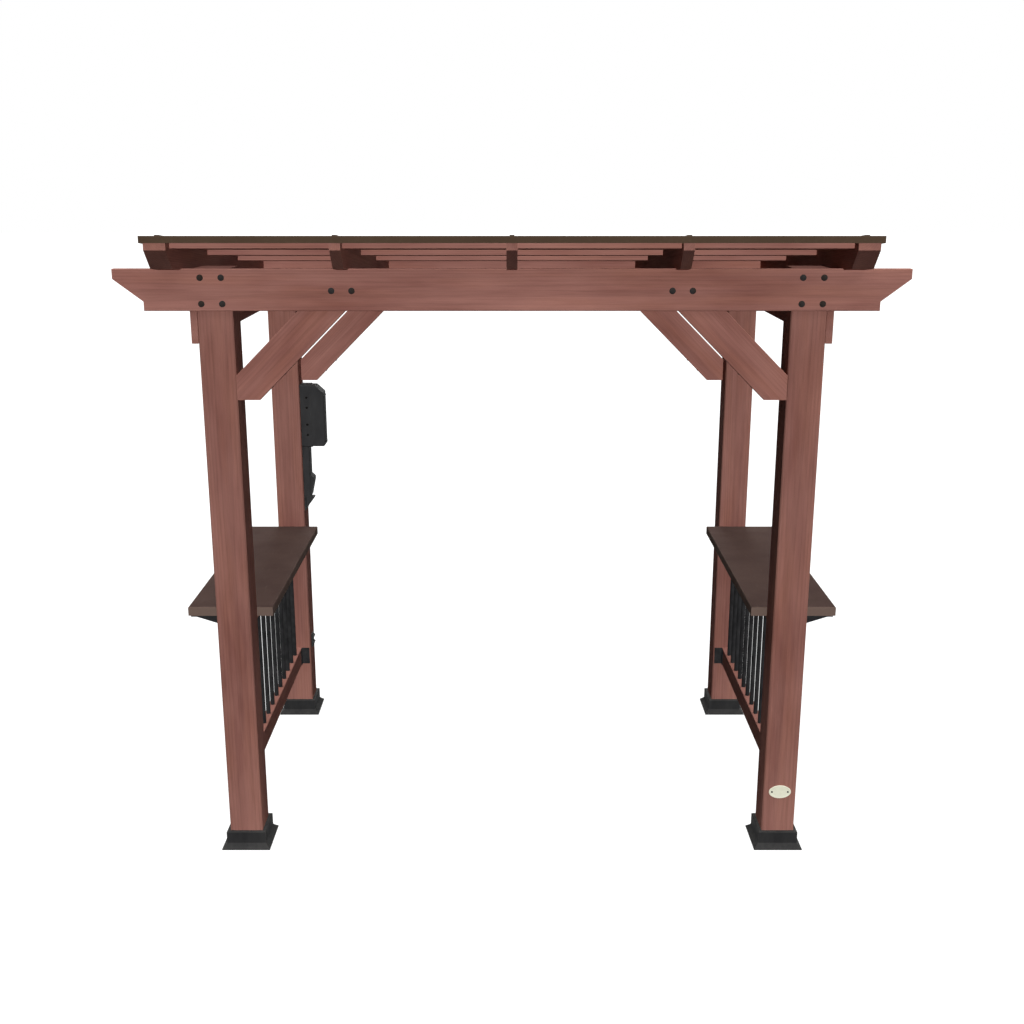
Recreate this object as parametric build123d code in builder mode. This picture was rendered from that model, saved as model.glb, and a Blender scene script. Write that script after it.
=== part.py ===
from build123d import *
import os
from math import cos, radians, sin, sqrt, tan

# A grill gazebo: four posts, a beam across the front and the back, five rafters that fall to the
# back, a metal roof, and a counter with a baluster panel under it at each side.
# Millimetres. The front faces -Y, and the origin is on the ground under the middle of the roof.

os.makedirs("parts", exist_ok=True)

# Post frame
frame_width = 2453.0
frame_depth = 1549.0
post_size = 139.7
post_corner = 5.0
board_edge = 2.0

# Beams across the front and the back
beam_length = 3067.0
beam_thickness = 38.0
beam_height = 160.0
beam_end_top = 38.0
beam_end_bottom = 36.0
beam_end_run = 114.0
front_beam_top = 2487.0

# Boards along the sides, on the outside of the posts
side_beam_thickness = 27.0
side_beam_height = 131.0

# Knee braces, cut from one board at 45 degrees
brace_width = 132.0
brace_thickness = 42.0
brace_toe = 89.0
back_brace_toe = 80.0
brace_foot_drop = 354.0
brace_head_clearance = 22.0

# Roof
roof_pitch = 5.76
roof_front_overhang = 232.0
roof_rear_overhang = 88.0
roof_width = 2732.0
rake_width = 68.0
rafter_width = 41.0
rafter_depth = 95.5
end_rafter_inset = 15.5
rafter_seat = 4.0
rafter_tail_face = 31.0
rafter_tail_run = 75.0
purlin_thickness = 21.0
purlin_width = 89.0
purlin_front_set = 58.0
purlin_spacing = 582.0
purlin_rows = 3
rear_board_thickness = 38.0
rear_board_gap = 1.0

# Roof metal
sheet = 2.0
trim_face = 26.0
trim_drop = 5.0
trim_lip = 12.0
seam_height = 22.5
seam_gap = 3.0
cap_width = 17.0
panel_count = 4
panel_bead = 6.0
panel_bead_width = 22.0

# Counters
counter_height = 1056.0
counter_thickness = 39.0
counter_width = 361.0
counter_inner_overhang = 66.0
counter_edge = 3.0

# Baluster panels under the counters
rail_thickness = 38.0
rail_inset = 4.0
rail_height = 89.0
bottom_rail_top = 376.0
baluster_diameter = 20.5
baluster_count = 11
baluster_let_in = 12.0
baluster_fit = 0.3
hanger_plate = 3.0
hanger_flange = 41.0
hanger_seat = 30.0

# Counter brackets, under the outer overhang
bracket_depth = 70.0
bracket_reach = 200.0
bracket_tip = 5.0
bracket_plate = 5.0
bracket_flange = 40.0
bracket_inset = 21.0

# Moulded covers round the feet of the posts
cover_width = 208.0
cover_band = 4.0
cover_neck_width = 169.0
cover_neck_height = 24.0
cover_height = 77.5
cover_bevel = 3.0
cover_ease = 2.0
cover_curve_across = 0.36
cover_curve_down = 0.42
cover_fit = 0.4

# Outlet unit on the inside of the back left post
outlet_width = 90.0
outlet_gap = 14.0
outlet_height = 324.0
outlet_base_depth = 53.0
outlet_cover_depth = 66.0
outlet_cover_inset = 3.0
outlet_chamfer = 42.0
outlet_round = 8.0
outlet_edge = 4.0
knockout_diameter = 14.0
knockout_depth = 5.0
knockout_spacing = 53.0
knockout_group_spacing = 141.0
knockout_inset = 21.0

# Cable holder under the outlet unit: a back plate, a channel with a lip, and a hook
holder_height = 339.0
holder_plate = 6.0
channel_width = 80.0
channel_depth = 35.0
channel_round = 10.0
channel_height = 263.0
lip_width = 66.0
lip_reach = 17.5
lip_height = 113.5
lip_flat = 14.0
hook_width = 40.0
hook_drop = 270.0
hook_height = 47.0
hook_reach = 47.5
hook_root = 18.0
hook_tip = 7.0

# Cable clip low on the same post
clip_height = 400.0
clip_length = 72.0
clip_reach = 14.0
clip_width = 46.0

# Places worked out from the sizes above
slope = tan(radians(roof_pitch))
pitch_cos = cos(radians(roof_pitch))
pitch_sin = sin(radians(roof_pitch))
roof_depth = roof_front_overhang + frame_depth + roof_rear_overhang
edge_front = -roof_depth / 2
edge_back = roof_depth / 2
face_front = edge_front + roof_front_overhang
face_back = face_front + frame_depth
post_x = (frame_width - post_size) / 2
post_inner = frame_width / 2 - post_size
rail_x = post_x - rail_inset
post_outer = frame_width / 2
front_post_y = face_front + post_size / 2
back_post_y = face_back - post_size / 2
beam_fall = slope * (frame_depth + beam_thickness)
back_beam_top = front_beam_top - beam_fall
trim_top = trim_face - trim_drop
cap_top = seam_height + sheet
metal_back = edge_back - cap_top * pitch_sin
rafter_front = edge_front + sheet
rafter_back = metal_back - sheet
end_rafter_width = 2 * rafter_width
rafter_spacing = (roof_width / 2 - rake_width) / 2
end_rafter_x = roof_width / 2 - end_rafter_inset - end_rafter_width / 2
sides = {"left": -1, "right": 1}


def rafter_under(y):
    """Height of the underside of the rafters at a distance y from front to back."""
    return front_beam_top - rafter_seat - slope * (y - (face_front - beam_thickness))


def rafter_top(y):
    """Height of the plane that the roof metal lies on."""
    return rafter_under(y) + rafter_depth / pitch_cos


def write_piece(piece, node):
    piece.part.label = node
    export_step(piece.part, f"parts/{node}.step")


# Posts
post_places = {}
for side_name, side in sides.items():
    post_places[f"front_{side_name}"] = (side * post_x, front_post_y, front_beam_top)
    post_places[f"back_{side_name}"] = (side * post_x, back_post_y, back_beam_top)

for place, (x, y, top) in post_places.items():
    with BuildPart() as post:
        with BuildSketch():
            with Locations((x, y)):
                Rectangle(post_size, post_size)
        extrude(amount=top)
        chamfer(post.edges().filter_by(Axis.Z), post_corner)
    write_piece(post, f"{place}_post")


# Covers round the feet: a band, a hollow curve up to the neck, and a bevelled top
def cover_section(plane):
    neck = cover_neck_width / 2
    foot = cover_width / 2
    curve_across = (foot - neck) * cover_curve_across
    curve_down = (cover_neck_height - cover_band) * cover_curve_down
    with BuildSketch(plane) as section:
        with BuildLine():
            Polyline((0, 0), (foot, 0), (foot, cover_band), (foot - cover_ease, cover_band + cover_ease))
            ThreePointArc(
                (foot - cover_ease, cover_band + cover_ease),
                (neck + curve_across, cover_neck_height - curve_down),
                (neck, cover_neck_height),
            )
            Polyline(
                (neck, cover_neck_height),
                (neck, cover_height - cover_bevel),
                (neck - cover_bevel, cover_height),
                (0, cover_height),
                (0, 0),
            )
        make_face()
        mirror(about=Plane.YZ)
    return section.sketch


for place, (x, y, top) in post_places.items():
    across = Plane(origin=(x, y, 0), x_dir=(1, 0, 0), z_dir=(0, -1, 0))
    along = Plane(origin=(x, y, 0), x_dir=(0, 1, 0), z_dir=(1, 0, 0))
    with BuildPart() as cover:
        extrude(cover_section(across), amount=cover_width / 2, both=True)
        extrude(cover_section(along), amount=cover_width / 2, both=True, mode=Mode.INTERSECT)
        with BuildSketch():
            with Locations((x, y)):
                Rectangle(post_size + 2 * cover_fit, post_size + 2 * cover_fit)
        extrude(amount=cover_height, mode=Mode.SUBTRACT)
    write_piece(cover, f"{place}_post_cover")


# Beams, with a straight tip, a slanted cut and a square bottom corner at each end
for place, near_face, top in (
    ("front", face_front - beam_thickness, front_beam_top),
    ("back", face_back, back_beam_top),
):
    with BuildPart() as beam:
        with BuildSketch(Plane.XZ.offset(-near_face)):
            with BuildLine():
                Polyline(
                    (0, top),
                    (beam_length / 2, top),
                    (beam_length / 2, top - beam_end_top),
                    (beam_length / 2 - beam_end_run, top - beam_height + beam_end_bottom),
                    (beam_length / 2 - beam_end_run, top - beam_height),
                    (0, top - beam_height),
                    close=True,
                )
            make_face()
            mirror(about=Plane.YZ)
        extrude(amount=-beam_thickness)
        chamfer(beam.edges().filter_by(Axis.X), board_edge)
    write_piece(beam, f"{place}_beam")


# Side beams, on the outside of the posts between the front and the back beam
for side_name, side in sides.items():
    side_beam_x = side * (post_outer + side_beam_thickness / 2)
    with BuildPart() as side_beam:
        with BuildSketch(Plane.XZ.offset(-face_front)):
            with Locations((side_beam_x, back_beam_top - side_beam_height / 2)):
                Rectangle(side_beam_thickness, side_beam_height)
        extrude(amount=-frame_depth)
        chamfer(side_beam.edges().filter_by(Axis.Y), board_edge)
    write_piece(side_beam, f"{side_name}_side_beam")


# Knee braces, from the inside of each post up along the beam
brace_slant = brace_width * sqrt(2)
for side_name, side in sides.items():
    for place, near_face, top, toe_length in (
        ("front", face_front, front_beam_top, brace_toe),
        ("back", face_back - brace_thickness, back_beam_top, back_brace_toe),
    ):
        foot = top - beam_height - brace_foot_drop
        head = top - brace_head_clearance
        toe = post_inner - toe_length
        with BuildPart() as brace:
            with BuildSketch(Plane.XZ.offset(-near_face)):
                with BuildLine():
                    Polyline(
                        (side * post_inner, foot),
                        (side * toe, foot),
                        (side * (toe - (head - foot)), head),
                        (side * (toe - (head - foot) + brace_slant), head),
                        (side * post_inner, foot + brace_slant - toe_length),
                        close=True,
                    )
                make_face()
            extrude(amount=-brace_thickness)
            slanted = brace.edges().filter_by(lambda edge: edge.length > brace_slant + toe_length)
            chamfer(slanted, board_edge)
        write_piece(brace, f"{place}_{side_name}_brace")


# Rafters, with a plumb nose, a slanted tail cut and a seat over each beam
def build_rafter(x, width):
    nose_top = rafter_top(rafter_front)
    with BuildPart() as rafter:
        with BuildSketch(Plane.YZ.offset(x - width / 2)):
            with BuildLine():
                Polyline(
                    (rafter_front, nose_top),
                    (rafter_front, nose_top - rafter_tail_face),
                    (rafter_front + rafter_tail_run, rafter_under(rafter_front + rafter_tail_run)),
                    (rafter_back, rafter_under(rafter_back)),
                    (rafter_back, rafter_top(rafter_back)),
                    close=True,
                )
            make_face()
            for seat_y, seat_top in (
                (face_front - beam_thickness / 2, front_beam_top),
                (face_back + beam_thickness / 2, back_beam_top),
            ):
                with Locations((seat_y, seat_top - beam_height / 2)):
                    Rectangle(beam_thickness, beam_height, mode=Mode.SUBTRACT)
        extrude(amount=width)
    return rafter


rafter_places = {
    "left_end_rafter": (-end_rafter_x, end_rafter_width),
    "left_rafter": (-rafter_spacing, rafter_width),
    "centre_rafter": (0.0, rafter_width),
    "right_rafter": (rafter_spacing, rafter_width),
    "right_end_rafter": (end_rafter_x, end_rafter_width),
}
for node, (x, width) in rafter_places.items():
    write_piece(build_rafter(x, width), node)


# Purlins: short boards between the rafters, flush with their tops
bay_edges = []
places = sorted(rafter_places.values())
for (left_x, left_width), (right_x, right_width) in zip(places, places[1:]):
    bay_edges.append((left_x + left_width / 2, right_x - right_width / 2))


def roof_plane(y):
    """Plane across the rafters at y, with its local Y square to the roof."""
    return Plane(origin=(0, y, rafter_top(y)), x_dir=(1, 0, 0), z_dir=(0, -pitch_cos, pitch_sin))


for row in range(purlin_rows):
    with BuildPart() as purlins:
        with BuildSketch(roof_plane(rafter_front + purlin_front_set + row * purlin_spacing)):
            for start, end in bay_edges:
                with Locations(((start + end) / 2, -purlin_thickness / 2)):
                    Rectangle(end - start, purlin_thickness)
        extrude(amount=-purlin_width)
    write_piece(purlins, f"purlin_row_{row + 1}")

board_front = face_back + beam_thickness + rear_board_gap
board_back = board_front + rear_board_thickness
with BuildPart() as rear_board:
    for start, end in bay_edges:
        with BuildSketch(Plane.YZ.offset(start)):
            with BuildLine():
                Polyline(
                    (board_front, rafter_under(board_front)),
                    (board_front, rafter_top(board_front)),
                    (board_back, rafter_top(board_back)),
                    (board_back, rafter_under(board_back)),
                    close=True,
                )
            make_face()
        extrude(amount=end - start)
write_piece(rear_board, "rear_blocking")


# Roof panels: a pan with two stiffening beads, turned up at its seams and its high edge
roof_length = (metal_back - rafter_front) / pitch_cos
seams = [rafter_spacing * (index - panel_count / 2) for index in range(panel_count + 1)]


def build_panel(start, end):
    left = start + seam_gap / 2
    right = end - seam_gap / 2
    third = (right - left) / 3
    half_bead = panel_bead_width / 2
    with BuildPart() as panel:
        with BuildSketch(roof_plane(rafter_front)):
            with BuildLine():
                Polyline(
                    (left, seam_height),
                    (left, 0),
                    (left + third - half_bead, 0),
                    (left + third - half_bead / 2, panel_bead),
                    (left + third + half_bead / 2, panel_bead),
                    (left + third + half_bead, 0),
                    (right - third - half_bead, 0),
                    (right - third - half_bead / 2, panel_bead),
                    (right - third + half_bead / 2, panel_bead),
                    (right - third + half_bead, 0),
                    (right, 0),
                    (right, seam_height),
                )
                offset(amount=sheet, side=Side.LEFT)
            make_face()
        extrude(amount=-roof_length)
        with BuildSketch(roof_plane(rafter_front)):
            with Locations(((left + right) / 2, (trim_top - sheet) / 2)):
                Rectangle(right - left, trim_top - sheet)
        extrude(amount=-sheet)
        with BuildSketch(roof_plane(rafter_front)):
            with Locations(((left + right) / 2, trim_top - sheet + seam_height / 2)):
                Rectangle(right - left, seam_height)
        extrude(amount=-trim_lip, mode=Mode.SUBTRACT)
    return panel


for index, (start, end) in enumerate(zip(seams, seams[1:])):
    write_piece(build_panel(start, end), f"roof_panel_{index + 1}")

# Caps over the seams, seated on the front trim
with BuildPart() as caps:
    with BuildSketch(roof_plane(edge_front)):
        for x in seams:
            with Locations((x, (trim_top + cap_top) / 2)):
                Rectangle(cap_width, cap_top - trim_top)
            with Locations((x, (trim_top + seam_height) / 2)):
                Rectangle(cap_width - 2 * sheet, seam_height - trim_top, mode=Mode.SUBTRACT)
    extrude(amount=-(metal_back - edge_front) / pitch_cos)
write_piece(caps, "seam_caps")

# Trim along the front and the back edge
with BuildPart() as front_trim:
    with BuildSketch(Plane.YZ.offset(-roof_width / 2)):
        lip_under = rafter_top(rafter_front) + (trim_top - sheet) / pitch_cos
        with BuildLine():
            Polyline(
                (rafter_front, lip_under + sheet - trim_face),
                (rafter_front, lip_under),
                (rafter_front + trim_lip, lip_under - slope * trim_lip),
            )
            offset(amount=sheet, side=Side.LEFT)
        make_face()
    extrude(amount=roof_width)
write_piece(front_trim, "front_roof_trim")

with BuildPart() as rear_trim:
    with BuildSketch(Plane.YZ.offset(sheet - roof_width / 2)):
        with Locations((metal_back - sheet / 2, rafter_top(metal_back) - trim_face / 2)):
            Rectangle(sheet, trim_face)
    extrude(amount=roof_width - 2 * sheet)
write_piece(rear_trim, "rear_roof_trim")

# Trim down both raked ends, notched under the lip of the front trim
with BuildPart() as rake_trim:
    rake_outer = roof_width / 2
    rake_inner = 2 * rafter_spacing + seam_gap / 2
    rake_front = rafter_front + trim_drop * pitch_sin
    with BuildSketch(roof_plane(rake_front)):
        for side in sides.values():
            with Locations((side * (rake_outer + rake_inner) / 2, sheet / 2)):
                Rectangle(rake_outer - rake_inner, sheet)
            with Locations((side * (rake_outer - sheet / 2), trim_face / 2 - trim_drop)):
                Rectangle(sheet, trim_face)
            with Locations((side * (rake_inner + sheet / 2), seam_height / 2)):
                Rectangle(sheet, seam_height)
    extrude(amount=-(metal_back - rake_front) / pitch_cos)
    with BuildSketch(roof_plane(rake_front)):
        with Locations((0, trim_top - sheet + seam_height / 2)):
            Rectangle(roof_width, seam_height)
    extrude(amount=-trim_lip, mode=Mode.SUBTRACT)
write_piece(rake_trim, "rake_trim")


# Counters, between the front and the back posts
counter_front = face_front + post_size
counter_back = face_back - post_size
counter_length = counter_back - counter_front
counter_under = counter_height - counter_thickness
counter_inner = post_inner - counter_inner_overhang
counter_outer = counter_inner + counter_width
for side_name, side in sides.items():
    with BuildPart() as counter:
        with BuildSketch(Plane.XY.offset(counter_under)):
            with Locations((side * (counter_inner + counter_outer) / 2, (counter_front + counter_back) / 2)):
                Rectangle(counter_width, counter_length)
        extrude(amount=counter_thickness)
        chamfer(counter.faces().sort_by(Axis.Z)[-1].edges(), counter_edge)
    write_piece(counter, f"{side_name}_counter")

# Rails: one under each counter, grooved for the balusters, and one low between the posts
baluster_pitch = counter_length / (baluster_count + 1)
baluster_foot = bottom_rail_top - baluster_let_in
baluster_head = counter_under - rail_height + baluster_let_in
middle_y = (counter_front + counter_back) / 2
for side_name, side in sides.items():
    with BuildPart() as top_rail:
        with BuildSketch(Plane.XZ.offset(-counter_front)):
            with Locations((side * rail_x, counter_under - rail_height / 2)):
                Rectangle(rail_thickness, rail_height)
            with Locations((side * rail_x, baluster_head - baluster_let_in / 2)):
                Rectangle(baluster_diameter + 2 * baluster_fit, baluster_let_in, mode=Mode.SUBTRACT)
        extrude(amount=-counter_length)
    write_piece(top_rail, f"{side_name}_top_rail")

    with BuildPart() as bottom_rail:
        with BuildSketch(Plane.XZ.offset(-counter_front)):
            with Locations((side * rail_x, bottom_rail_top - rail_height / 2)):
                Rectangle(rail_thickness, rail_height)
        extrude(amount=-counter_length)
        chamfer(bottom_rail.edges().filter_by(Axis.Y), board_edge)
        with Locations((side * rail_x, middle_y, bottom_rail_top)):
            with GridLocations(0, baluster_pitch, 1, baluster_count):
                Hole(baluster_diameter / 2, depth=baluster_let_in)
    write_piece(bottom_rail, f"{side_name}_bottom_rail")

    with BuildPart() as balusters:
        with BuildSketch(Plane.XY.offset(baluster_foot)):
            with Locations((side * rail_x, middle_y)):
                with GridLocations(0, baluster_pitch, 1, baluster_count):
                    Circle(baluster_diameter / 2)
        extrude(amount=baluster_head - baluster_foot)
    write_piece(balusters, f"{side_name}_balusters")

# Angle brackets that hold the bottom rails to the posts
with BuildPart() as hangers:
    for side in sides.values():
        rail_inner = rail_x - rail_thickness / 2
        for end_y, inward in ((counter_front, 1), (counter_back, -1)):
            with BuildSketch(Plane.XY.offset(bottom_rail_top - rail_height)):
                with Locations((side * (rail_inner - hanger_flange / 2), end_y + inward * hanger_plate / 2)):
                    Rectangle(hanger_flange, hanger_plate)
                with Locations((side * (rail_inner - hanger_plate / 2), end_y + inward * hanger_seat / 2)):
                    Rectangle(hanger_plate, hanger_seat)
            extrude(amount=rail_height)
write_piece(hangers, "rail_hangers")

# Brackets under the outer overhang of the counters: a web with a flange on the rail and one above
with BuildPart() as brackets:
    for side in sides.values():
        rail_outer = rail_x + rail_thickness / 2
        for y in (counter_front + bracket_inset, counter_back - bracket_inset):
            with BuildSketch(Plane.XZ.offset(-y)):
                with BuildLine():
                    Polyline(
                        (side * rail_outer, counter_under),
                        (side * (rail_outer + bracket_reach), counter_under),
                        (side * (rail_outer + bracket_reach), counter_under - bracket_tip),
                        (side * rail_outer, counter_under - bracket_depth),
                        close=True,
                    )
                make_face()
            extrude(amount=bracket_plate / 2, both=True)
            with BuildSketch(Plane.XZ.offset(-y)):
                with Locations((side * (rail_outer + bracket_reach / 2), counter_under - bracket_tip / 2)):
                    Rectangle(bracket_reach, bracket_tip)
                with Locations((side * (rail_outer + bracket_tip / 2), counter_under - bracket_depth / 2)):
                    Rectangle(bracket_tip, bracket_depth)
            extrude(amount=bracket_flange / 2, both=True)
write_piece(brackets, "counter_brackets")


# Outlet unit on the back left post: a base with knockouts, and a cover with slanted top corner
unit_y = back_post_y
wall = -post_inner
outlet_top = back_beam_top - beam_height - brace_foot_drop - outlet_gap
outlet_bottom = outlet_top - outlet_height
outlet_middle = outlet_top - outlet_height / 2
base_face = wall + outlet_base_depth
cover_face = base_face + outlet_cover_depth

with BuildPart() as outlet_base:
    with BuildSketch(Plane.XZ.offset(-(unit_y - outlet_width / 2))):
        with Locations((wall + outlet_base_depth / 2, outlet_middle)):
            Rectangle(outlet_base_depth, outlet_height)
    extrude(amount=-outlet_width)
    fillet(outlet_base.edges().filter_by(Axis.X), outlet_round)
    near_side = Plane(
        origin=(base_face - knockout_inset, unit_y - outlet_width / 2, outlet_middle),
        x_dir=(1, 0, 0),
        z_dir=(0, -1, 0),
    )
    with BuildSketch(near_side):
        with GridLocations(0, knockout_group_spacing, 1, 2):
            with GridLocations(0, knockout_spacing, 1, 2):
                Circle(knockout_diameter / 2)
    extrude(amount=-knockout_depth, mode=Mode.SUBTRACT)
write_piece(outlet_base, "outlet_base")

with BuildPart() as outlet_cover:
    with BuildSketch(Plane.XZ.offset(-(unit_y - outlet_width / 2 + outlet_cover_inset))):
        with BuildLine():
            Polyline(
                (base_face, outlet_bottom + outlet_cover_inset),
                (cover_face - outlet_round, outlet_bottom + outlet_cover_inset),
                (cover_face, outlet_bottom + outlet_cover_inset + outlet_round),
                (cover_face, outlet_top - outlet_chamfer),
                (cover_face - outlet_chamfer, outlet_top - outlet_cover_inset),
                (base_face, outlet_top - outlet_cover_inset),
                close=True,
            )
        make_face()
    extrude(amount=-(outlet_width - 2 * outlet_cover_inset))
    fillet(outlet_cover.edges().filter_by(Axis.X), outlet_round)
    fillet(outlet_cover.faces().sort_by(Axis.X)[-1].edges(), outlet_edge)
write_piece(outlet_cover, "outlet_cover")

holder_bottom = outlet_bottom - holder_height
channel_bottom = outlet_bottom - channel_height
channel_face = wall + channel_depth
hook_top = outlet_bottom - hook_drop
hook_foot = hook_top - hook_height
with BuildPart() as holder:
    with BuildSketch(Plane.XY.offset(holder_bottom)):
        with Locations((wall + holder_plate / 2, unit_y)):
            Rectangle(holder_plate, outlet_width)
    extrude(amount=holder_height)
    with BuildSketch(Plane.XY.offset(channel_bottom)):
        with Locations((wall + channel_depth / 2, unit_y)):
            channel_outline = Rectangle(channel_depth, channel_width)
        fillet(channel_outline.vertices().group_by(Axis.X)[-1], channel_round)
    extrude(amount=channel_height)
    with BuildSketch(Plane.XZ.offset(-(unit_y - lip_width / 2))):
        with BuildLine():
            Polyline(
                (wall + holder_plate, channel_bottom + lip_height),
                (channel_face, channel_bottom + lip_height),
                (channel_face + lip_reach, channel_bottom + lip_height - lip_reach),
                (channel_face + lip_reach, channel_bottom + lip_height - lip_reach - lip_flat),
                (channel_face, channel_bottom),
                (wall + holder_plate, channel_bottom),
                close=True,
            )
        make_face()
    extrude(amount=-lip_width)
    with BuildSketch(Plane.XZ.offset(-(unit_y - hook_width / 2))):
        with BuildLine():
            Polyline(
                (wall + holder_plate, hook_foot),
                (wall + hook_root, hook_foot),
                (wall + hook_reach, hook_top - hook_tip),
                (wall + hook_reach, hook_top),
                (wall + hook_reach - hook_root, hook_top),
                (wall + holder_plate, channel_bottom),
                close=True,
            )
        make_face()
    extrude(amount=-hook_width)
write_piece(holder, "cable_holder")

with BuildPart() as clip:
    with BuildSketch(Plane.XZ.offset(-(unit_y - clip_width / 2))):
        with Locations((wall + clip_reach / 4, clip_height)):
            Rectangle(clip_reach / 2, clip_length)
        with Locations((wall + clip_reach / 2, clip_height)):
            with GridLocations(0, clip_length / 2, 1, 2):
                Circle(clip_reach / 2)
    extrude(amount=-clip_width)
write_piece(clip, "cable_clip")
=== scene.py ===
import bmesh
import bpy
import math
import random
from mathutils import Euler, Matrix, Vector


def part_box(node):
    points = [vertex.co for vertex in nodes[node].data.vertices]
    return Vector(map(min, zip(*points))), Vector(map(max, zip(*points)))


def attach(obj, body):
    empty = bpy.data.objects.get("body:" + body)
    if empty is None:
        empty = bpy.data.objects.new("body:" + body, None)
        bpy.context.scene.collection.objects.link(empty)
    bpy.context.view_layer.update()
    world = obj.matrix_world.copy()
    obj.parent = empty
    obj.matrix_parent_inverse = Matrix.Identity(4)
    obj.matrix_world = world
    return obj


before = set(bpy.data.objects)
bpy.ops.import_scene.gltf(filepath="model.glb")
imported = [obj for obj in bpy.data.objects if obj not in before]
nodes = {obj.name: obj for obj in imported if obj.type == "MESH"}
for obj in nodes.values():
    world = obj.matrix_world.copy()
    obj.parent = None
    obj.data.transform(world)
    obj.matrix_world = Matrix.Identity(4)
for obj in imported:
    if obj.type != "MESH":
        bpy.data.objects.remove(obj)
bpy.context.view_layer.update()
print("frame loaded,", len(nodes), "nodes")


# colours are written as they look on a screen, 0 to 255
def tone(red, green, blue):
    return tuple(((c / 255 + 0.055) / 1.055) ** 2.4 for c in (red, green, blue)) + (1.0,)


def setInputs(tree, node, inputs):
    for socket, value in inputs.items():
        if isinstance(value, bpy.types.NodeSocket):
            tree.links.new(value, node.inputs[socket])
        else:
            node.inputs[socket].default_value = value


def addNode(tree, kind, inputs=None, **settings):
    node = tree.nodes.new("ShaderNode" + kind)
    for name, value in settings.items():
        setattr(node, name, value)
    setInputs(tree, node, inputs or {})
    return node


def calc(tree, operation, first, second=0.0):
    return addNode(tree, "Math", {0: first, 1: second}, operation=operation).outputs[0]


def times(tree, first, second):
    return calc(tree, "MULTIPLY", first, second)


def dot(tree, first, second):
    return addNode(tree, "VectorMath", {0: first, 1: second}, operation="DOT_PRODUCT").outputs["Value"]


def spread(tree, value, low, high, toLow=0.0, toHigh=1.0, **settings):
    inputs = {"Value": value, "From Min": low, "From Max": high, "To Min": toLow, "To Max": toHigh}
    return addNode(tree, "MapRange", inputs, **settings).outputs[0]


def blend(tree, factor, first, second, mode="MIX"):
    node = addNode(tree, "Mix", {0: factor, 6: first, 7: second}, data_type="RGBA", blend_type=mode)
    return node.outputs[2]


def ramp(tree, factor, stops):
    node = addNode(tree, "ValToRGB", {0: factor})
    elements = node.color_ramp.elements
    while len(elements) < len(stops):
        elements.new(0.5)
    for element, (position, colour) in zip(elements, stops):
        element.position = position
        element.color = colour
    return node.outputs[0]


def objectPlace(tree):
    return addNode(tree, "TexCoord").outputs["Object"]


def faceNormal(tree):
    return addNode(tree, "NewGeometry").outputs["Normal"]


def facingUp(tree):
    return addNode(tree, "SeparateXYZ", {0: faceNormal(tree)}).outputs["Z"]


# a noise layer is written as its stretch, scale, detail and, where it is given, roughness
def grains(tree, place, stretch, scale, detail, roughness=0.55):
    scaled = addNode(tree, "Mapping", {"Vector": place, "Scale": stretch}).outputs[0]
    inputs = {"Vector": scaled, "Scale": scale, "Detail": detail, "Roughness": roughness}
    return addNode(tree, "TexNoise", inputs).outputs[0]


# how alike the true and the rounded normal are on a flat face, and at an edge
edgeLikeness = (0.995, 0.85)


def rubEdges(tree, colour, wornTone, radius, amount):
    rounded = addNode(tree, "Bevel", {"Radius": radius}, samples=4).outputs[0]
    edge = spread(tree, dot(tree, rounded, faceNormal(tree)), *edgeLikeness)
    return blend(tree, times(tree, edge, amount), colour, wornTone)


def newFinish(name):
    material = bpy.data.materials.new(name)
    material.use_nodes = True
    tree = material.node_tree
    return material, tree, tree.nodes["Principled BSDF"]


def setSurface(tree, shader, look, colour, roughness, height):
    strength, distance = look["relief"]
    relief = addNode(tree, "Bump", {"Height": height, "Strength": strength, "Distance": distance})
    setInputs(tree, shader, {
        "Base Color": colour,
        "Roughness": roughness,
        "Specular IOR Level": look["shine"],
        "Normal": relief.outputs[0],
    })


# stained timber: growth rings round a heart line, long fibres, pores and a blotchy stain
timber = {
    "pale": tone(158, 112, 102),
    "main": tone(143, 99, 90),
    "deep": tone(125, 82, 74),
    "orange": tone(152, 102, 85),
    "orangeMost": 0.40,
    "rubbed": tone(170, 124, 108),
    "rubbedWidth": 0.003,
    "rubbedAmount": 0.45,
    "ring": 0.0075,          # metres between growth rings
    "ringStretch": 0.05,
    "ringDepth": 0.10,
    "fibreDepth": 0.085,
    "poreDepth": 0.11,
    "brightness": 1.055,
    "endShade": 0.86,
    "roofPitch": 5.76,       # degrees
    "roughness": (0.76, 0.92),
    "shine": 0.01,
    "relief": (0.45, 0.0007),
    "blotches": ((1, 1, 0.22), 6.5, 3.0),
    "streaks": ((1, 1, 0.035), 75.0, 3.0, 0.6),
    "fibres": ((1, 1, 0.02), 420.0, 2.0, 0.6),
    "pores": ((1, 1, 0.012), 1300.0, 1.0, 0.5),
    "warm": ((1, 1, 0.12), 14.0, 2.0),
}
grainTurns = {
    "x": (0, -math.pi / 2, 0),
    "y": (math.pi / 2, 0, 0),
    "roof": (math.pi / 2 + math.radians(timber["roofPitch"]), 0, 0),
    "z": (0, 0, 0),
    "leftBrace": (0, -math.pi / 4, 0),
    "rightBrace": (0, math.pi / 4, 0),
}


def growthRings(tree, board):
    long = addNode(tree, "Mapping", {"Vector": board, "Scale": (1, 1, timber["ringStretch"])}).outputs[0]
    inputs = {
        "Vector": long,
        "Scale": math.pi / 10 / timber["ring"],
        "Distortion": 14.0,
        "Detail": 2.0,
        "Detail Scale": 0.14,
        "Detail Roughness": 0.45,
    }
    shape = {"wave_type": "RINGS", "rings_direction": "Z", "wave_profile": "SAW"}
    rings = addNode(tree, "TexWave", inputs, **shape).outputs["Fac"]
    return spread(tree, rings, 0.35, 0.95, interpolation_type="SMOOTHSTEP")


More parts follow.
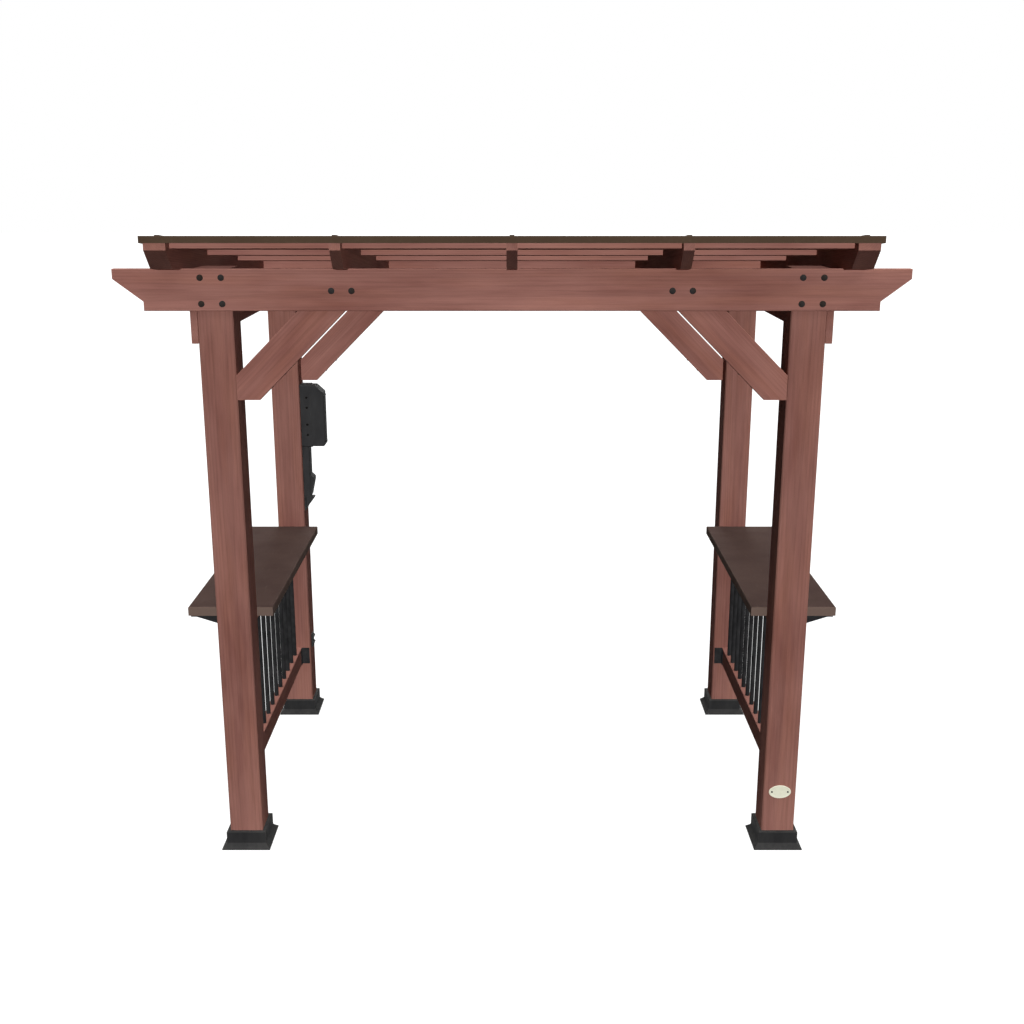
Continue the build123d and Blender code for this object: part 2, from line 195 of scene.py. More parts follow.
def endGrainLight(tree, along):
    facing = calc(tree, "ABSOLUTE", dot(tree, faceNormal(tree), along))
    return spread(tree, spread(tree, facing, 0.55, 0.85), 0.0, 1.0, 1.0, timber["endShade"])


def stainedTimber(name, grain, heart, stainAndPaintedLight):
    material, tree, shader = newFinish(name)
    turn = Euler(grainTurns[grain]).to_matrix()
    heartLine = turn @ heart
    boardInputs = {
        "Vector": objectPlace(tree),
        "Rotation": grainTurns[grain],
        "Location": (-heartLine.x, -heartLine.y, 0),
    }
    board = addNode(tree, "Mapping", boardInputs).outputs[0]
    late = growthRings(tree, board)
    blotches = grains(tree, board, *timber["blotches"])
    streaks = grains(tree, board, *timber["streaks"])
    fibres = grains(tree, board, *timber["fibres"])
    pores = grains(tree, board, *timber["pores"])
    warm = grains(tree, board, *timber["warm"])

    stain = [(0.30, timber["deep"]), (0.50, timber["main"]), (0.72, timber["pale"])]
    colour = ramp(tree, blotches, stain)
    colour = blend(tree, spread(tree, warm, 0.45, 0.75, 0.0, timber["orangeMost"]), colour, timber["orange"])
    fibreRange = (-timber["fibreDepth"] / 2, timber["fibreDepth"])
    dark = times(tree, late, timber["ringDepth"])
    dark = calc(tree, "ADD", dark, spread(tree, streaks, 0.35, 0.75, *fibreRange))
    dark = calc(tree, "ADD", dark, spread(tree, fibres, 0.35, 0.70, *fibreRange))
    dark = calc(tree, "ADD", dark, spread(tree, pores, 0.60, 0.78, 0.0, timber["poreDepth"]))
    # the level is the stain's own lightness, and on pieces deep in the shade it also carries painted light
    light = calc(tree, "SUBTRACT", timber["brightness"] * stainAndPaintedLight, dark)
    light = times(tree, light, endGrainLight(tree, turn.transposed() @ Vector((0, 0, 1))))
    grey = addNode(tree, "CombineColor", {0: light, 1: light, 2: light}).outputs[0]
    colour = blend(tree, 1.0, colour, grey, "MULTIPLY")
    colour = rubEdges(tree, colour, timber["rubbed"], timber["rubbedWidth"], timber["rubbedAmount"])

    height = times(tree, late, -0.35)
    height = calc(tree, "SUBTRACT", height, times(tree, fibres, 0.9))
    height = calc(tree, "SUBTRACT", height, times(tree, spread(tree, pores, 0.55, 0.8), 0.6))
    roughness = spread(tree, streaks, 0.3, 0.7, *timber["roughness"])
    setSurface(tree, shader, timber, colour, roughness, height)
    return material


# where the heart of each timber lies from its middle, in millimetres, and which way its grain runs
timberPieces = {
    "front_left_post": ("z", (14, 9, 0)), "front_right_post": ("z", (-11, 16, 0)),
    "back_left_post": ("z", (-8, -13, 0)), "back_right_post": ("z", (17, -6, 0)),
    "front_left_brace": ("leftBrace", (0, 66, 15)), "front_right_brace": ("rightBrace", (0, 72, -20)),
    "back_left_brace": ("leftBrace", (0, -70, 10)), "back_right_brace": ("rightBrace", (0, 64, 18)),
    "front_beam": ("x", (0, 82, -24)), "back_beam": ("x", (0, -88, 20)),
    "left_side_beam": ("y", (75, 0, 18)), "right_side_beam": ("y", (-80, 0, -14)),
    "left_end_rafter": ("roof", (30, 0, 58)), "left_rafter": ("roof", (52, 0, 30)),
    "centre_rafter": ("roof", (-46, 0, 42)), "right_rafter": ("roof", (60, 0, -22)),
    "right_end_rafter": ("roof", (-34, 0, 66)),
    "purlin_row_1": ("x", (0, 22, 58)), "purlin_row_2": ("x", (0, -30, 64)),
    "purlin_row_3": ("x", (0, 12, 70)), "rear_blocking": ("x", (0, 70, 16)),
    "left_top_rail": ("y", (60, 0, 10)), "right_top_rail": ("y", (-58, 0, 22)),
    "left_bottom_rail": ("y", (-64, 0, 20)), "right_bottom_rail": ("y", (56, 0, -14)),
}
# how light each kind of timber is coloured: the upright posts, pieces deep in the shade, which are painted
# lighter as painted light against the shade they sit in, and the rest
stainAndPaintedLightLevels = {"posts": 0.94, "shaded": 1.16, "rest": 1.08, "lowest": 0.97, "highest": 1.03}
roofRows = ("purlin_row_1", "purlin_row_2", "purlin_row_3", "rear_blocking")
shadedPieces = roofRows + ("back_left_brace", "back_right_brace")
dice = random.Random(11)


def dressNode(node, material):
    mesh = nodes[node].data
    if not mesh.materials:
        mesh.materials.append(material)
    for slot in nodes[node].material_slots:
        slot.material = material


def stainAndPaintedLightLevel(node, grain):
    if grain == "z":
        return stainAndPaintedLightLevels["posts"]
    # pieces deep in the shade take a lighter level: painted light in place of the light they don't get
    return stainAndPaintedLightLevels["shaded" if node in shadedPieces else "rest"]


for node, (grain, offset) in timberPieces.items():
    low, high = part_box(node)
    heart = (low + high) / 2 + Vector(offset) / 1000
    stainAndPaintedLight = dice.uniform(stainAndPaintedLightLevels["lowest"], stainAndPaintedLightLevels["highest"]) * stainAndPaintedLightLevel(node, grain)
    dressNode(node, stainedTimber("timber_" + node, grain, heart, stainAndPaintedLight))
print("timber finished,", len(timberPieces), "pieces")


# baked paint on the roof sheet, with dust that has run down the slope
roofSheet = {
    "paint": tone(73, 58, 46),
    "faded": tone(80, 64, 51),
    "dust": tone(96, 81, 67),
    "rubbed": tone(104, 86, 70),
    "rubbedWidth": 0.0015,
    "rubbedAmount": 0.5,
    "roughness": (0.50, 0.66),
    "shine": 0.03,
    "relief": (0.4, 0.002),
    "clouds": ((1, 0.5, 1), 3.2, 4.0),
    "runs": ((1, 0.05, 1), 60.0, 4.0, 0.65),
    "peel": ((1, 1, 1), 900.0, 2.0),
    "drum": ((1, 0.35, 1), 5.0, 1.0),
}


def roofPaint():
    material, tree, shader = newFinish("roof_paint")
    place = objectPlace(tree)
    clouds = grains(tree, place, *roofSheet["clouds"])
    runs = grains(tree, place, *roofSheet["runs"])
    peel = grains(tree, place, *roofSheet["peel"])
    drum = grains(tree, place, *roofSheet["drum"])
    colour = blend(tree, spread(tree, clouds, 0.35, 0.7), roofSheet["paint"], roofSheet["faded"])
    dusty = times(tree, spread(tree, runs, 0.5, 0.8), spread(tree, clouds, 0.4, 0.65, 0.05, 0.4))
    colour = blend(tree, dusty, colour, roofSheet["dust"])
    colour = rubEdges(tree, colour, roofSheet["rubbed"], roofSheet["rubbedWidth"], roofSheet["rubbedAmount"])
    height = calc(tree, "ADD", times(tree, peel, 0.05), times(tree, drum, 2.0))
    roughness = spread(tree, runs, 0.3, 0.75, *roofSheet["roughness"])
    setSurface(tree, shader, roofSheet, colour, roughness, height)
    return material


# powder coat on the counters: a fine texture, with faint scratches and wiped marks, and painted shade that
# keeps the up-facing top darker than the sides
counterTop = {
    "coat": tone(70, 55, 51),
    "light": tone(78, 62, 57),
    # the sides that don't face up take this lighter tone: painted light beside the painted shade of the top
    "edge": tone(108, 91, 83),
    "worn": tone(124, 106, 94),
    "wornWidth": 0.002,
    "wornAmount": 0.6,
    "speckleMost": 0.20,
    "scratchMost": 0.22,
    "roughness": (0.66, 0.84),
    "shine": 0.005,
    "relief": (0.35, 0.0005),
    "clouds": ((1, 1, 1), 5.0, 4.0),
    "speckle": ((1, 1, 1), 620.0, 2.0, 0.7),
    "scratches": ((1, 0.03, 1), 260.0, 2.0, 0.6),
    "wiped": ((0.25, 1, 1), 26.0, 3.0),
}


def counterCoat():
    material, tree, shader = newFinish("counter_coat")
    place = objectPlace(tree)
    clouds = grains(tree, place, *counterTop["clouds"])
    speckle = grains(tree, place, *counterTop["speckle"])
    scratches = grains(tree, place, *counterTop["scratches"])
    wiped = grains(tree, place, *counterTop["wiped"])
    worn = counterTop["worn"]
    colour = blend(tree, spread(tree, clouds, 0.35, 0.7), counterTop["coat"], counterTop["light"])
    # painted shade: up-facing faces keep the darker coat tones, and the rest turn to the lighter side tone
    colour = blend(tree, spread(tree, facingUp(tree), 0.9, 0.5), colour, counterTop["edge"])
    colour = blend(tree, spread(tree, speckle, 0.58, 0.75, 0.0, counterTop["speckleMost"]), colour, worn)
    colour = blend(tree, spread(tree, scratches, 0.68, 0.78, 0.0, counterTop["scratchMost"]), colour, worn)
    colour = rubEdges(tree, colour, worn, counterTop["wornWidth"], counterTop["wornAmount"])
    roughness = spread(tree, wiped, 0.3, 0.7, *counterTop["roughness"])
    setSurface(tree, shader, counterTop, colour, roughness, speckle)
    return material


# black coat of the balusters, brackets, screws and bolts, chipped at the edges
blackIron = {
    "coat": tone(37, 37, 38),
    "bolt": tone(52, 45, 40),
    "light": tone(52, 52, 53),
    "bare": tone(96, 92, 88),
    "chipWidth": 0.0012,
    "chips": (0.05, 0.5),
    "roughness": (0.56, 0.70),
    "shine": 0.01,
    "relief": (0.3, 0.0003),
    "clouds": ((1, 1, 1), 22.0, 4.0),
    "grit": ((1, 1, 1), 1100.0, 2.0, 0.7),
}


def blackCoat(name, coatTone):
    material, tree, shader = newFinish(name)
    place = objectPlace(tree)
    clouds = grains(tree, place, *blackIron["clouds"])
    grit = grains(tree, place, *blackIron["grit"])
    colour = blend(tree, spread(tree, clouds, 0.35, 0.7), coatTone, blackIron["light"])
    chipped = spread(tree, clouds, 0.45, 0.7, *blackIron["chips"])
    colour = rubEdges(tree, colour, blackIron["bare"], blackIron["chipWidth"], chipped)
    roughness = spread(tree, grit, 0.3, 0.7, *blackIron["roughness"])
    setSurface(tree, shader, blackIron, colour, roughness, grit)
    return material


# moulded plastic of the post covers and the outlet unit, with dust where it faces up
moulding = {
    "cover": (tone(42, 42, 43), tone(52, 52, 52)),
    "outlet": (tone(50, 50, 51), tone(62, 62, 63)),
    "plug": (tone(20, 20, 20), tone(27, 27, 27)),
    "dust": tone(92, 89, 84),
    "dustMost": 0.18,
    "rubbedWidth": 0.002,
    "rubbedAmount": 0.35,
    "roughness": (0.56, 0.70),
    "shine": 0.015,
    "relief": (0.3, 0.0003),
    "flow": ((1, 1, 0.4), 16.0, 3.0),
    "pebble": ((1, 1, 1), 1500.0, 1.0),
    "settled": ((1, 1, 1), 70.0, 4.0, 0.65),
}


def mouldedPlastic(name, tones):
    material, tree, shader = newFinish(name)
    place = objectPlace(tree)
    flow = grains(tree, place, *moulding["flow"])
    pebble = grains(tree, place, *moulding["pebble"])
    settled = grains(tree, place, *moulding["settled"])
    colour = blend(tree, spread(tree, flow, 0.35, 0.7), *tones)
    onTop = spread(tree, facingUp(tree), 0.25, 1.0, 0.0, moulding["dustMost"])
    colour = blend(tree, times(tree, onTop, spread(tree, settled, 0.3, 0.65)), colour, moulding["dust"])
    colour = rubEdges(tree, colour, moulding["dust"], moulding["rubbedWidth"], moulding["rubbedAmount"])
    roughness = spread(tree, flow, 0.3, 0.7, *moulding["roughness"])
    setSurface(tree, shader, moulding, colour, roughness, pebble)
    return material


# pale enamel of the small plate, stained and chipped a little
enamel = {
    "body": tone(224, 224, 203),
    "stain": tone(202, 200, 176),
    "stainMost": 0.35,
    "speck": tone(168, 158, 134),
    "speckMost": 0.5,
    "roughness": (0.34, 0.5),
    "shine": 0.4,
    "relief": (0.25, 0.0003),
    "clouds": ((1, 1, 1), 60.0, 4.0),
    "grit": ((1, 1, 1), 900.0, 2.0),
}


def plateEnamel():
    material, tree, shader = newFinish("plate_enamel")
    place = objectPlace(tree)
    clouds = grains(tree, place, *enamel["clouds"])
    grit = grains(tree, place, *enamel["grit"])
    stains = spread(tree, clouds, 0.5, 0.75, 0.0, enamel["stainMost"])
    colour = blend(tree, stains, enamel["body"], enamel["stain"])
    specks = spread(tree, grit, 0.66, 0.76, 0.0, enamel["speckMost"])
    colour = blend(tree, specks, colour, enamel["speck"])
    roughness = spread(tree, clouds, 0.3, 0.7, *enamel["roughness"])
    setSurface(tree, shader, enamel, colour, roughness, grit)
    return material


roofFinish = roofPaint()
boltFinish = blackCoat("bolt_black", blackIron["bolt"])
counterFinish = counterCoat()
ironFinish = blackCoat("black_coat", blackIron["coat"])
coverFinish = mouldedPlastic("cover_plastic", moulding["cover"])
outletFinish = mouldedPlastic("outlet_plastic", moulding["outlet"])
plugFinish = mouldedPlastic("plug_plastic", moulding["plug"])
plateFinish = plateEnamel()

roofPanels = ("roof_panel_1", "roof_panel_2", "roof_panel_3", "roof_panel_4")
corners = ("front_left", "front_right", "back_left", "back_right")
finishes = (
    (roofFinish, roofPanels + ("seam_caps", "front_roof_trim", "rear_roof_trim", "rake_trim")),
    (counterFinish, ("left_counter", "right_counter")),
    (ironFinish, ("left_balusters", "right_balusters", "rail_hangers", "counter_brackets")),
    (outletFinish, ("outlet_base", "outlet_cover", "cable_holder", "cable_clip")),
    (coverFinish, [corner + "_post_cover" for corner in corners]),
)
for finish, pieces in finishes:
    for node in pieces:
        dressNode(node, finish)
print("metal and plastic finished")


# new pieces: a template is shaped once, facing up, and copied to its places
def bevelEdges(bm, edges, width, steps=2):
    bmesh.ops.bevel(bm, geom=edges, offset=width, offset_type="OFFSET", segments=steps, profile=0.5,
                    affect="EDGES", material=-1, clamp_overlap=True)


def topFace(faces):
    return max(faces, key=lambda face: face.calc_center_median().z)


def topEdges(faces):
    return list(topFace(faces).edges)


def sinkTop(bm, insets, depth):
    top = topFace(bm.faces)
    for inset in insets:
        bmesh.ops.inset_individual(bm, faces=[top], thickness=inset)
    bmesh.ops.translate(bm, vec=(0, 0, -depth), verts=list(top.verts))


# an edge rises when its ends differ in height by more than this
levelEdge = 0.001


def rises(edge):
    return abs(edge.verts[0].co.z - edge.verts[1].co.z) > levelEdge


def newBlock(size):
    bm = bmesh.new()
    bmesh.ops.create_cube(bm, size=1.0)
    bmesh.ops.scale(bm, vec=size, verts=bm.verts)
    return bm


def addRound(bm, sides, lower, upper, bottom, height):
    at = Matrix.Translation((0, 0, bottom + height / 2))
    made = bmesh.ops.create_cone(bm, cap_ends=True, segments=sides, radius1=lower, radius2=upper,
                                 depth=height, matrix=at)
    return list({face for vert in made["verts"] for face in vert.link_faces})


def addInto(whole, part):
    spare = bpy.data.meshes.new("spare")
    part.to_mesh(spare)
    part.free()
    whole.from_mesh(spare)
    bpy.data.meshes.remove(spare)


def copyTo(template, places):
    whole = bmesh.new()
    for place in places:
        one = template.copy()
        bmesh.ops.transform(one, matrix=place, verts=one.verts)
        addInto(whole, one)
    template.free()
    return whole


def makePiece(bm, name, material):
    bmesh.ops.recalc_face_normals(bm, faces=bm.faces)
    for face in bm.faces:
        face.smooth = True
    mesh = bpy.data.meshes.new(name)
    bm.to_mesh(mesh)
    bm.free()
    mesh.set_sharp_from_angle(angle=math.radians(32))
    mesh.materials.append(material)
    piece = bpy.data.objects.new(name, mesh)
    bpy.context.scene.collection.objects.link(piece)
    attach(piece, "root")


def turnTo(direction):
    return Vector(direction).to_track_quat("Z", "Y").to_matrix().to_4x4()


# each fitting is also spun a little, as a wrench or a driver leaves it
def facingTo(direction, spot):
    spin = Matrix.Rotation(dice.uniform(0, 1), 4, "Z")
    return Matrix.Translation(spot) @ turnTo(direction) @ spin


def hexOnWasher(size):
    bm = bmesh.new()
    lower, upper = size["washer"]
    washer = addRound(bm, size["washerSides"], lower, upper, 0, size["washerThick"])
    bevelEdges(bm, topEdges(washer), size["washerEdge"], size["bevelSteps"])
    head = addRound(bm, 6, size["head"], size["head"], size["headFrom"], size["headHigh"])
    bevelEdges(bm, topEdges(head), size["headEdge"], size["bevelSteps"])
    return bm


# a small screw's rounded head with a sunk middle: the rim is a share of its radius, the rest of its height
screwHead = {"sides": 16, "round": 0.45, "rim": 0.28, "sunk": 0.45}


def smallScrew(radius, high):
    bm = bmesh.new()
    head = addRound(bm, screwHead["sides"], radius, radius, 0, high)
    bevelEdges(bm, topEdges(head), high * screwHead["round"])
    sinkTop(bm, [radius * screwHead["rim"]], high * screwHead["sunk"])
    return bm


def makeScrews(name, size, places):
    makePiece(copyTo(smallScrew(size["radius"], size["high"]), places), name, ironFinish)


# hexagon bolts with washers, through the beams into the posts and braces
beamBolt = {
    "washer": (0.0125, 0.0125),
    "washerSides": 24,
    "washerThick": 0.0022,
    "washerEdge": 0.00063,
    "head": 0.0085,
    "headFrom": 0.00198,
    "headHigh": 0.0065,
    "headEdge": 0.0009,
    "bevelSteps": 2,
    "postSpread": 0.0405,
    "postDrops": (0.033, 0.133),
    "braceSpots": (0.617, 0.695),
    "braceDrop": 0.083,
}


def beamBolts(name, beam, direction):
    low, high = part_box(beam)
    face = low.y if direction < 0 else high.y
    postLow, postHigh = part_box("front_right_post")
    postMiddle = (postLow.x + postHigh.x) / 2
    facing = (0, direction, 0)
    places = []
    for side in (-1, 1):
        for shift in (-1, 1):
            for drop in beamBolt["postDrops"]:
                across = side * postMiddle + shift * beamBolt["postSpread"]
                places.append(facingTo(facing, (across, face, high.z - drop)))
        for across in beamBolt["braceSpots"]:
            places.append(facingTo(facing, (side * across, face, high.z - beamBolt["braceDrop"])))
    makePiece(copyTo(hexOnWasher(beamBolt), places), name, boltFinish)


beamBolts("front_beam_bolts", "front_beam", -1)
beamBolts("back_beam_bolts", "back_beam", 1)
print("bolts placed")


# the small plate on the front right post, left bare, with a raised rim and two screws
plate = {
    "middle": (1.157, 0.262),      # across and up
    "half": (0.0475, 0.0300),
    "sides": 64,
    "thick": 0.0024,
    "edge": 0.0007,
    "rim": (0.0032, 0.0008),
    "sunk": 0.0009,
    "screwOut": 0.0345,
    "screwSunk": 0.0010,
}
plateScrew = {"radius": 0.0040, "high": 0.0024}


def barePlate():
    bm = bmesh.new()
    bmesh.ops.create_circle(bm, cap_ends=True, segments=plate["sides"], radius=1.0)
    bmesh.ops.scale(bm, vec=(*plate["half"], 1), verts=bm.verts)
    raised = bmesh.ops.extrude_face_region(bm, geom=list(bm.faces))
    topVerts = [item for item in raised["geom"] if isinstance(item, bmesh.types.BMVert)]
    bmesh.ops.translate(bm, vec=(0, 0, plate["thick"]), verts=topVerts)
    bevelEdges(bm, topEdges(bm.faces), plate["edge"])
    sinkTop(bm, plate["rim"], plate["sunk"])
    return bm


def plateWithScrews():
    across, up = plate["middle"]
    spot = (across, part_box("front_right_post")[0].y, up)
    onPost = Matrix.Translation(spot) @ Matrix.Rotation(math.pi / 2, 4, "X")
    makePiece(copyTo(barePlate(), [onPost]), "bare_plate", plateFinish)
    screwUp = plate["thick"] - plate["screwSunk"]
    places = [onPost @ Matrix.Translation((side * plate["screwOut"], 0, screwUp)) for side in (-1, 1)]
    makeScrews("plate_screws", plateScrew, places)


plateWithScrews()
print("plate placed")


# screws with washers that hold the roof sheets down, beside the seams and the beads
roofScrew = {
    "washer": (0.0075, 0.00675),
    "washerSides": 14,
    "washerThick": 0.0020,
    "washerEdge": 0.0005,
    "head": 0.0045,
    "headFrom": 0.0020,
    "headHigh": 0.0042,
    "headEdge": 0.0006,
    "bevelSteps": 1,
    "fromSeam": 0.045,
    "aboveWood": 0.002,
}


def roofScrews():
    pitch = math.radians(timber["roofPitch"])
    outward = Vector((0, math.sin(pitch), math.cos(pitch)))
    rafterLow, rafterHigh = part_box("left_rafter")
    places = []
    for row in roofRows:
        rowLow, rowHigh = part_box(row)
        y = (rowLow.y + rowHigh.y) / 2
        woodTop = rafterHigh.z - math.tan(pitch) * (y - rafterLow.y)
        for panel in roofPanels:
            low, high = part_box(panel)
            for x in (low.x + roofScrew["fromSeam"], (low.x + high.x) / 2, high.x - roofScrew["fromSeam"]):
                spot = Vector((x, y, woodTop)) + outward * roofScrew["aboveWood"]
                places.append(facingTo(outward, spot))
    makePiece(copyTo(hexOnWasher(roofScrew), places), "roof_screws", roofFinish)


roofScrews()


# small screws in the angle brackets at the ends of the bottom rails
hangerScrew = {
    "radius": 0.0048,
    "high": 0.0024,
    "drops": (0.022, 0.067),
    "postFlange": (0.024, 0.003),      # out from the rail's side, and in from the post
    "railFlange": 0.018,
}


def hangerScrews():
    out, proud = hangerScrew["postFlange"]
    places = []
    for node, side in (("left_bottom_rail", 1), ("right_bottom_rail", -1)):
        low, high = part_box(node)
        inner = high.x if side > 0 else low.x
        for endY, inward in ((low.y, 1), (high.y, -1)):
            for drop in hangerScrew["drops"]:
                up = high.z - drop
                places.append(facingTo((0, inward, 0), (inner + side * out, endY + inward * proud, up)))
                along = endY + inward * hangerScrew["railFlange"]
                places.append(facingTo((side, 0, 0), (inner, along, up)))
    makeScrews("hanger_screws", hangerScrew, places)


# small screws along the lower side of each brace
braceScrew = {
    "radius": 0.0050,
    "high": 0.0016,
    "toes": {"front": 0.089, "back": 0.080},       # from the post to the lower side, at the brace's foot
    "spots": ((0.05, -0.008), (0.10, 0.008)),      # up along the brace, and across it
}


def braceScrews():
    places = []
    for end, toe in braceScrew["toes"].items():
        for side, name in ((-1, "left"), (1, "right")):
            low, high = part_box(f"{end}_{name}_brace")
            postInner = low.x if side < 0 else high.x
            middle = (low.y + high.y) / 2
            downward = Vector((-side, 0, -1)).normalized()
            for run, shift in braceScrew["spots"]:
                spot = (postInner - side * (toe + run), middle + shift, low.z + run)
                places.append(facingTo(downward, spot))
    makeScrews("brace_screws", braceScrew, places)


# small screws through the side beams into the posts
sideScrew = {
    "radius": 0.0058,
    "high": 0.0018,
    "spread": 0.0405,
    "drops": (0.030, 0.065, 0.100),
    "sunk": 0.0012,
}


def sideScrews():
    places = []
    for node, direction in (("left_side_beam", -1), ("right_side_beam", 1)):
        low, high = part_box(node)
        face = (low.x if direction < 0 else high.x) - direction * sideScrew["sunk"]
        for post in ("front_left_post", "back_left_post"):
            postLow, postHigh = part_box(post)
            middle = (postLow.y + postHigh.y) / 2
            for shift in (-sideScrew["spread"], sideScrew["spread"]):
                for drop in sideScrew["drops"]:
                    places.append(facingTo((direction, 0, 0), (face, middle + shift, high.z - drop)))
    makeScrews("side_beam_screws", sideScrew, places)


hangerScrews()
braceScrews()
sideScrews()
print("screws placed")


# a lid on the outlet cover, with two hinges and a catch
outletLid = {
    "margin": (0.009, 0.020),
    "hood": 0.039,
    "thick": 0.0035,
    "round": 0.010,
    "roundSteps": 5,
    "edge": 0.0012,
    "border": (0.010, 0.0015),
    "sunk": 0.0012,
}
lidHinge = {"radius": 0.0045, "long": 0.020, "sides": 14, "edge": 0.0008, "spread": 0.022, "up": 0.002}
lidCatch = {"size": (0.030, 0.013, 0.007), "edge": 0.0018, "steps": 3, "out": 0.002, "up": 0.004}


def lidPanel(wide, tall):
    bm = newBlock((wide, tall, outletLid["thick"]))
    bevelEdges(bm, [edge for edge in bm.edges if rises(edge)], outletLid["round"], outletLid["roundSteps"])
    bevelEdges(bm, topEdges(bm.faces), outletLid["edge"])
    sinkTop(bm, outletLid["border"], outletLid["sunk"])
    return bm


def hingeBarrel():
    bm = bmesh.new()
    bmesh.ops.create_cone(bm, cap_ends=True, segments=lidHinge["sides"], radius1=lidHinge["radius"],
                          radius2=lidHinge["radius"], depth=lidHinge["long"])
    bevelEdges(bm, [edge for edge in bm.edges if not rises(edge)], lidHinge["edge"])
    return bm


def catchBlock():
    bm = newBlock(lidCatch["size"])
    bevelEdges(bm, list(bm.edges), lidCatch["edge"], lidCatch["steps"])
    return bm


def lidWithHinges():
    low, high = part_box("outlet_cover")
    side, end = outletLid["margin"]
    face = high.x
    middle = (low.y + high.y) / 2
    bottom = low.z + end
    top = high.z - outletLid["hood"] - end
    outward = turnTo((1, 0, 0))
    lidPlace = Matrix.Translation((face, middle, (top + bottom) / 2)) @ outward
    whole = copyTo(lidPanel((high.y - low.y) - 2 * side, top - bottom), [lidPlace])
    hingePlaces = []
    for shift in (-lidHinge["spread"], lidHinge["spread"]):
        at = Matrix.Translation((face, middle + shift, top + lidHinge["up"]))
        hingePlaces.append(at @ Matrix.Rotation(math.pi / 2, 4, "X"))
    addInto(whole, copyTo(hingeBarrel(), hingePlaces))
    catchPlace = Matrix.Translation((face + lidCatch["out"], middle, bottom + lidCatch["up"])) @ outward
    addInto(whole, copyTo(catchBlock(), [catchPlace]))
    makePiece(whole, "outlet_lid", outletFinish)


# screws that hold the outlet unit to the post, at both sides of the cable holder
outletScrew = {
    "radius": 0.0042,
    "high": 0.0024,
    "fromSide": 0.008,
    "fromBottom": 0.016,
    "fromTop": 0.014,
    "out": 0.004,
}


def outletScrews():
    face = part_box("outlet_base")[0].x + outletScrew["out"]
    low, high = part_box("cable_holder")
    heights = (low.z + outletScrew["fromBottom"], (low.z + high.z) / 2, high.z - outletScrew["fromTop"])
    places = []
    for y in (low.y + outletScrew["fromSide"], high.y - outletScrew["fromSide"]):
        for z in heights:
            places.append(facingTo((1, 0, 0), (face, y, z)))
    makeScrews("outlet_screws", outletScrew, places)


# plugs in the knockouts on the outlet unit's near side
outletPlug = {
    "radius": 0.0066,
    "sides": 20,
    "thick": 0.0016,
    "edge": 0.0005,
    "rim": 0.0016,
    "dish": 0.0007,
    "fromFront": 0.021,
    "sunk": 0.0024,
    "betweenPairs": 0.141,
    "inPair": 0.053,
}


def plugDisc():
    bm = bmesh.new()
    radius = outletPlug["radius"]
    disc = addRound(bm, outletPlug["sides"], radius, radius, 0, outletPlug["thick"])
    bevelEdges(bm, topEdges(disc), outletPlug["edge"])
    sinkTop(bm, [outletPlug["rim"]], outletPlug["dish"])
    return bm


def outletPlugs():
    low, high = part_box("outlet_base")
    places = []
    for pair in (-0.5, 0.5):
        for one in (-0.5, 0.5):
            up = (low.z + high.z) / 2 + pair * outletPlug["betweenPairs"] + one * outletPlug["inPair"]
            spot = (high.x - outletPlug["fromFront"], low.y + outletPlug["sunk"], up)
            places.append(facingTo((0, -1, 0), spot))
    makePiece(copyTo(plugDisc(), places), "outlet_plugs", plugFinish)


lidWithHinges()
outletScrews()
outletPlugs()
print("outlet fittings placed")


# floor, daylight and camera
studio = {
    "floorTone": (0.03, 0.03, 0.03, 1.0),
    "floorSeen": (0.30, 0.30, 0.30, 1.0),
    "floorGlow": 0.84,
    "floorHalf": 60.0,
    "floorDrop": 0.001,
    "skyLevel": 0.075,
    "lens": 43.71,
    "sensor": 36.0,
    "farthest": 200.0,
    "eye": (0.0, -5.5745, 2.8275),
    "tilt": 15.09,
}
# each lamp: where it shines from, strength, softness in degrees, and whether it casts shadows
lamps = {
    "front_even": ((0.09, -0.79, 0.61), 2.92, 10, False),
    "front_soft": ((0.09, -0.79, 0.61), 0.42, 30, True),
    "left_soft": ((-1.0, -0.1, 1.05), 1.25, 10, True),
    "right_soft": ((1.0, -0.1, 1.05), 1.25, 10, True),
    "back_soft": ((0.0, 1.0, 0.35), 1.70, 20, True),
}
scene = bpy.context.scene


def emptyTree(owner):
    owner.use_nodes = True
    owner.node_tree.nodes.clear()
    return owner.node_tree


def addObject(name, data):
    made = bpy.data.objects.new(name, data)
    scene.collection.objects.link(made)
    return made


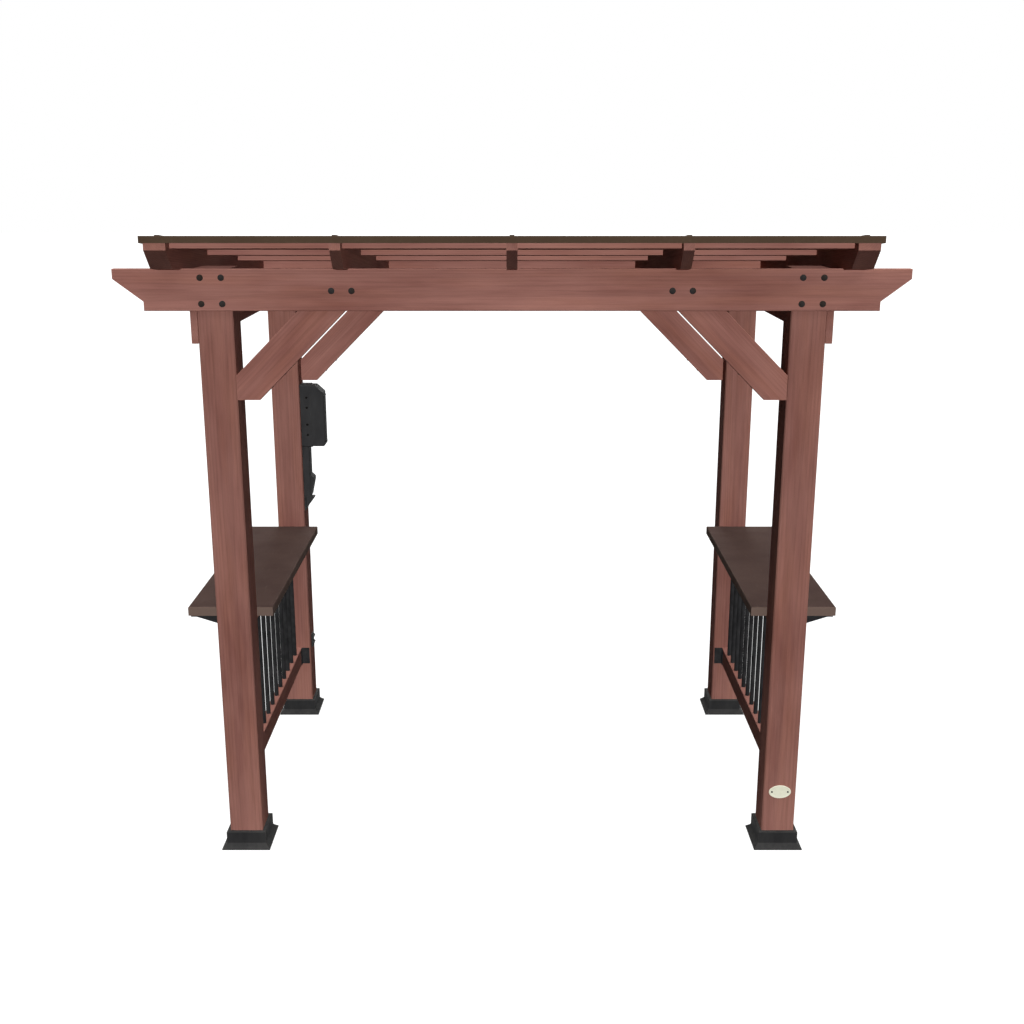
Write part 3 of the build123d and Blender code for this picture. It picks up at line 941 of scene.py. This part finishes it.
def seenDirectly(tree):
    path = addNode(tree, "LightPath").outputs
    seen = calc(tree, "MAXIMUM", path["Is Camera Ray"], path["Is Glossy Ray"])
    return calc(tree, "MAXIMUM", seen, path["Is Transmission Ray"])


def paleFloor():
    material = bpy.data.materials.new("pale_floor")
    tree = emptyTree(material)
    plain = addNode(tree, "BsdfDiffuse", {"Color": studio["floorTone"]}).outputs[0]
    shadowed = addNode(tree, "BsdfDiffuse", {"Color": studio["floorSeen"]}).outputs[0]
    glow = addNode(tree, "Emission", {"Strength": studio["floorGlow"]}).outputs[0]
    white = addNode(tree, "AddShader", {0: shadowed, 1: glow}).outputs[0]
    mixed = addNode(tree, "MixShader", {0: seenDirectly(tree), 1: plain, 2: white}).outputs[0]
    addNode(tree, "OutputMaterial", {"Surface": mixed})
    return material


ground = bmesh.new()
bmesh.ops.create_grid(ground, x_segments=2, y_segments=2, size=studio["floorHalf"])
bmesh.ops.translate(ground, vec=(0, 0, -studio["floorDrop"]), verts=ground.verts)
groundMesh = bpy.data.meshes.new("floor")
ground.to_mesh(groundMesh)
ground.free()
groundMesh.materials.append(paleFloor())
floor = addObject("floor", groundMesh)

world = bpy.data.worlds.new("daylight")
scene.world = world
worldTree = emptyTree(world)
level = spread(worldTree, seenDirectly(worldTree), 0.0, 1.0, studio["skyLevel"], 1.0)
sky = addNode(worldTree, "Background", {"Color": (1, 1, 1, 1), "Strength": level}).outputs[0]
addNode(worldTree, "OutputWorld", {"Surface": sky})

for name, (source, strength, softness, casts) in lamps.items():
    lamp = bpy.data.lights.new(name, "SUN")
    lamp.energy = strength
    lamp.angle = math.radians(softness)
    lamp.use_shadow = casts
    addObject(name, lamp).rotation_euler = Vector(source).to_track_quat("Z", "Y").to_euler()

camera = bpy.data.cameras.new("camera")
camera.lens = studio["lens"]
camera.sensor_width = studio["sensor"]
camera.clip_end = studio["farthest"]
cameraObject = addObject("camera", camera)
cameraObject.location = studio["eye"]
cameraObject.rotation_euler = (math.radians(90 - studio["tilt"]), 0, 0)
scene.camera = cameraObject
scene.view_settings.view_transform = "Standard"
print("studio ready")
